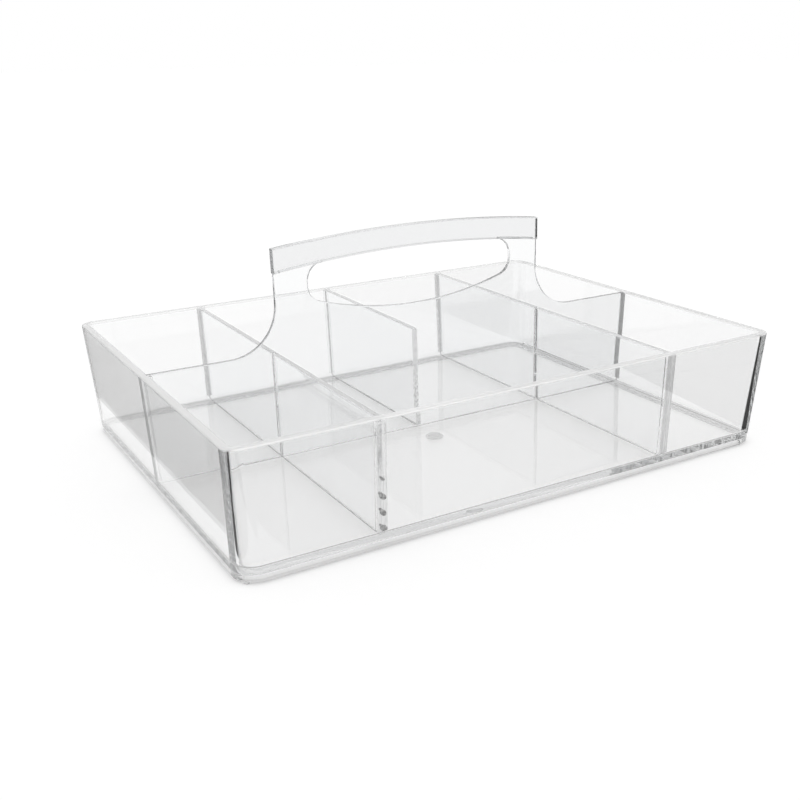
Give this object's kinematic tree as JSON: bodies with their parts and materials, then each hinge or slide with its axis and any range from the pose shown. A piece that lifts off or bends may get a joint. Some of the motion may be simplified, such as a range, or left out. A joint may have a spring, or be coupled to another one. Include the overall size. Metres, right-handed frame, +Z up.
{
  "type": "organizer tray",
  "caption": "Clear rectangular organizer tray with drafted walls, upright dividers and a fixed arched carrying handle over its middle.",
  "frame": {"origin": "middle of the tray's underside, on the plane that it stands on", "axes": "+X along the tray's length and the handle, +Y from its front to its back, +Z up"},
  "size_m": [0.2476, 0.188, 0.0971],
  "materials": {
    "tray_acrylic": "clear moulded acrylic, polished",
    "divider_acrylic": "clear acrylic sheet, polished edges",
    "handle_acrylic": "clear acrylic sheet, polished edges",
    "grip_acrylic": "clear acrylic bar, polished"
  },
  "bodies": {
    "root": {"tray_shell": "tray_acrylic", "left_divider": "divider_acrylic", "right_divider": "divider_acrylic", "rear_divider": "divider_acrylic", "handle_panel": "handle_acrylic", "grip_bar": "grip_acrylic"}
  },
  "joints": []
}
